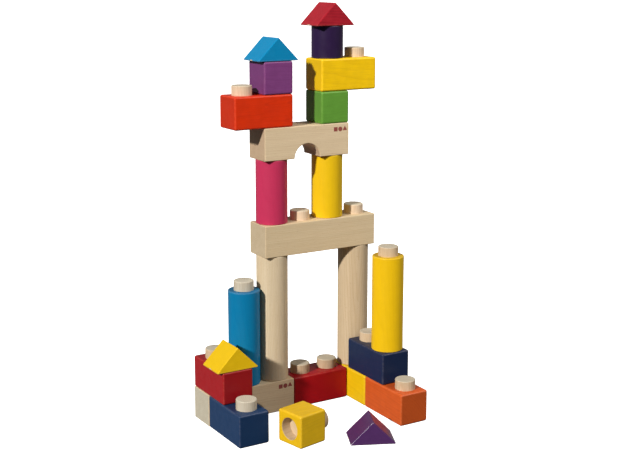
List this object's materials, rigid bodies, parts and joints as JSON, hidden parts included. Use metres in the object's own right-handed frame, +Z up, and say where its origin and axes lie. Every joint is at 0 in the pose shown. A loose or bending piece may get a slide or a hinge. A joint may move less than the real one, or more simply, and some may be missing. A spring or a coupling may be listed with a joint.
{
  "type": "pegged wooden block tower",
  "caption": "Castle tower of pegged wooden building blocks: columns, lintel, arches, balconies and pitched roofs, with a loose cube and a loose roof lying in front.",
  "frame": {"origin": "floor level under the middle of the red sill, which lies in the gateway between the two columns", "axes": "+X along the lintel towards the right column, +Y from the loose blocks towards the tower, +Z up"},
  "size_m": [0.2468, 0.1994, 0.5079],
  "materials": {
    "natural_wood": "sanded bare beech with a fine straight grain",
    "peg_wood": "sanded bare beech dowel, end grain on top",
    "red_lacquer": "glossy water-based lacquer over wood grain",
    "yellow_lacquer": "glossy water-based lacquer over wood grain",
    "navy_lacquer": "glossy water-based lacquer over wood grain",
    "orange_lacquer": "glossy water-based lacquer over wood grain",
    "vermilion_lacquer": "glossy water-based lacquer over wood grain",
    "green_lacquer": "glossy water-based lacquer over wood grain",
    "purple_lacquer": "glossy water-based lacquer over wood grain",
    "cyan_lacquer": "glossy water-based lacquer over wood grain",
    "pink_lacquer": "glossy water-based lacquer over wood grain",
    "indigo_lacquer": "glossy water-based lacquer over wood grain",
    "violet_lacquer": "glossy water-based lacquer over wood grain"
  },
  "bodies": {
    "foundation": {"base_arch": "natural_wood", "base_arch_peg_1": "peg_wood", "base_arch_peg_2": "peg_wood", "yellow_corner": "yellow_lacquer", "yellow_corner_peg_1": "peg_wood", "yellow_corner_peg_2": "peg_wood"},
    "red_sill_block": {"red_sill": "red_lacquer", "red_sill_peg_1": "peg_wood", "red_sill_peg_2": "peg_wood"},
    "orange_wing_block": {"orange_wing": "orange_lacquer", "orange_wing_peg_1": "peg_wood", "orange_wing_peg_2": "peg_wood"},
    "navy_wing_block": {"navy_wing": "navy_lacquer", "navy_wing_peg_1": "peg_wood", "navy_wing_peg_2": "peg_wood"},
    "red_bridge_block": {"red_bridge": "red_lacquer", "red_bridge_peg_1": "peg_wood", "red_bridge_peg_2": "peg_wood"},
    "navy_bridge_block": {"navy_bridge": "navy_lacquer", "navy_bridge_peg_1": "peg_wood", "navy_bridge_peg_2": "peg_wood"},
    "cyan_pillar_block": {"cyan_pillar": "cyan_lacquer", "cyan_pillar_peg_1": "peg_wood"},
    "left_column_block": {"left_column": "natural_wood", "left_column_peg_1": "peg_wood"},
    "right_column_block": {"right_column": "natural_wood", "right_column_peg_1": "peg_wood"},
    "yellow_tall_pillar_block": {"yellow_tall_pillar": "yellow_lacquer", "yellow_tall_pillar_peg_1": "peg_wood"},
    "lintel_block": {"lintel": "natural_wood", "lintel_peg_1": "peg_wood", "lintel_peg_2": "peg_wood", "lintel_peg_3": "peg_wood", "lintel_peg_4": "peg_wood"},
    "pink_pillar_block": {"pink_pillar": "pink_lacquer", "pink_pillar_peg_1": "peg_wood"},
    "yellow_short_pillar_block": {"yellow_short_pillar": "yellow_lacquer", "yellow_short_pillar_peg_1": "peg_wood"},
    "top_arch_block": {"top_arch": "natural_wood", "top_arch_peg_1": "peg_wood", "top_arch_peg_2": "peg_wood"},
    "orange_balcony_block": {"orange_balcony": "vermilion_lacquer", "orange_balcony_peg_1": "peg_wood", "orange_balcony_peg_2": "peg_wood"},
    "green_cube_block": {"green_cube": "green_lacquer", "green_cube_peg_1": "peg_wood"},
    "purple_cube_block": {"purple_cube": "purple_lacquer", "purple_cube_peg_1": "peg_wood"},
    "yellow_balcony_block": {"yellow_balcony": "yellow_lacquer", "yellow_balcony_peg_1": "peg_wood", "yellow_balcony_peg_2": "peg_wood"},
    "indigo_drum_block": {"indigo_drum": "indigo_lacquer", "indigo_drum_peg_1": "peg_wood"},
    "loose_cube_block": {"loose_cube": "yellow_lacquer", "loose_cube_peg_1": "peg_wood"},
    "yellow_roof_block": {"yellow_roof": "yellow_lacquer"},
    "cyan_roof_block": {"cyan_roof": "cyan_lacquer"},
    "red_roof_block": {"red_roof": "red_lacquer"},
    "loose_roof_block": {"loose_roof": "violet_lacquer"}
  },
  "joints": [
    {"name": "navy_wing_lift", "type": "slide", "parent": "foundation", "child": "navy_wing_block", "axis": [0, 0, 1], "range_m": [0, 0.024]},
    {"name": "red_bridge_lift", "type": "slide", "parent": "navy_wing_block", "child": "red_bridge_block", "axis": [0, 0, 1], "range_m": [0, 0.024]},
    {"name": "yellow_roof_lift", "type": "slide", "parent": "red_bridge_block", "child": "yellow_roof_block", "axis": [0, 0, 1], "range_m": [0, 0.024]},
    {"name": "cyan_pillar_lift", "type": "slide", "parent": "foundation", "child": "cyan_pillar_block", "axis": [0, 0, 1], "range_m": [0, 0.024]},
    {"name": "orange_wing_lift", "type": "slide", "parent": "foundation", "child": "orange_wing_block", "axis": [0, 0, 1], "range_m": [0, 0.024]},
    {"name": "navy_bridge_lift", "type": "slide", "parent": "orange_wing_block", "child": "navy_bridge_block", "axis": [0, 0, 1], "range_m": [0, 0.024]},
    {"name": "yellow_tall_pillar_lift", "type": "slide", "parent": "navy_bridge_block", "child": "yellow_tall_pillar_block", "axis": [0, 0, 1], "range_m": [0, 0.024]},
    {"name": "left_column_lift", "type": "slide", "parent": "foundation", "child": "left_column_block", "axis": [0, 0, 1], "range_m": [0, 0.024]},
    {"name": "right_column_lift", "type": "slide", "parent": "foundation", "child": "right_column_block", "axis": [0, 0, 1], "range_m": [0, 0.024]},
    {"name": "lintel_lift", "type": "slide", "parent": "left_column_block", "child": "lintel_block", "axis": [0, 0, 1], "range_m": [0, 0.024]},
    {"name": "pink_pillar_lift", "type": "slide", "parent": "lintel_block", "child": "pink_pillar_block", "axis": [0, 0, 1], "range_m": [0, 0.024]},
    {"name": "yellow_short_pillar_lift", "type": "slide", "parent": "lintel_block", "child": "yellow_short_pillar_block", "axis": [0, 0, 1], "range_m": [0, 0.024]},
    {"name": "top_arch_lift", "type": "slide", "parent": "pink_pillar_block", "child": "top_arch_block", "axis": [0, 0, 1], "range_m": [0, 0.024]},
    {"name": "orange_balcony_lift", "type": "slide", "parent": "top_arch_block", "child": "orange_balcony_block", "axis": [0, 0, 1], "range_m": [0, 0.024]},
    {"name": "purple_cube_lift", "type": "slide", "parent": "orange_balcony_block", "child": "purple_cube_block", "axis": [0, 0, 1], "range_m": [0, 0.024]},
    {"name": "green_cube_lift", "type": "slide", "parent": "top_arch_block", "child": "green_cube_block", "axis": [0, 0, 1], "range_m": [0, 0.024]},
    {"name": "yellow_balcony_lift", "type": "slide", "parent": "green_cube_block", "child": "yellow_balcony_block", "axis": [0, 0, 1], "range_m": [0, 0.024]},
    {"name": "indigo_drum_lift", "type": "slide", "parent": "yellow_balcony_block", "child": "indigo_drum_block", "axis": [0, 0, 1], "range_m": [0, 0.024]},
    {"name": "red_sill_draw", "type": "slide", "parent": "foundation", "child": "red_sill_block", "axis": [0, -1, 0], "range_m": [0, 0.045]},
    {"name": "cyan_roof_turn", "type": "hinge", "parent": "purple_cube_block", "child": "cyan_roof_block", "pos_m": [-0.06, 0, 0.44], "axis": [0, 0, 1], "continuous": true},
    {"name": "red_roof_turn", "type": "hinge", "parent": "indigo_drum_block", "child": "red_roof_block", "pos_m": [0.02, 0, 0.48], "axis": [0, 0, 1], "continuous": true},
    {"name": "loose_cube_pick_up", "type": "slide", "parent": "foundation", "child": "loose_cube_block", "axis": [0, 0, 1], "range_m": [0, 0.06]},
    {"name": "loose_roof_pick_up", "type": "slide", "parent": "foundation", "child": "loose_roof_block", "axis": [0, 0, 1], "range_m": [0, 0.06]}
  ],
  "couplings": [
    {"joint": "right_column_lift", "follows": "left_column_lift", "ratio": 1},
    {"joint": "yellow_short_pillar_lift", "follows": "pink_pillar_lift", "ratio": 1}
  ]
}
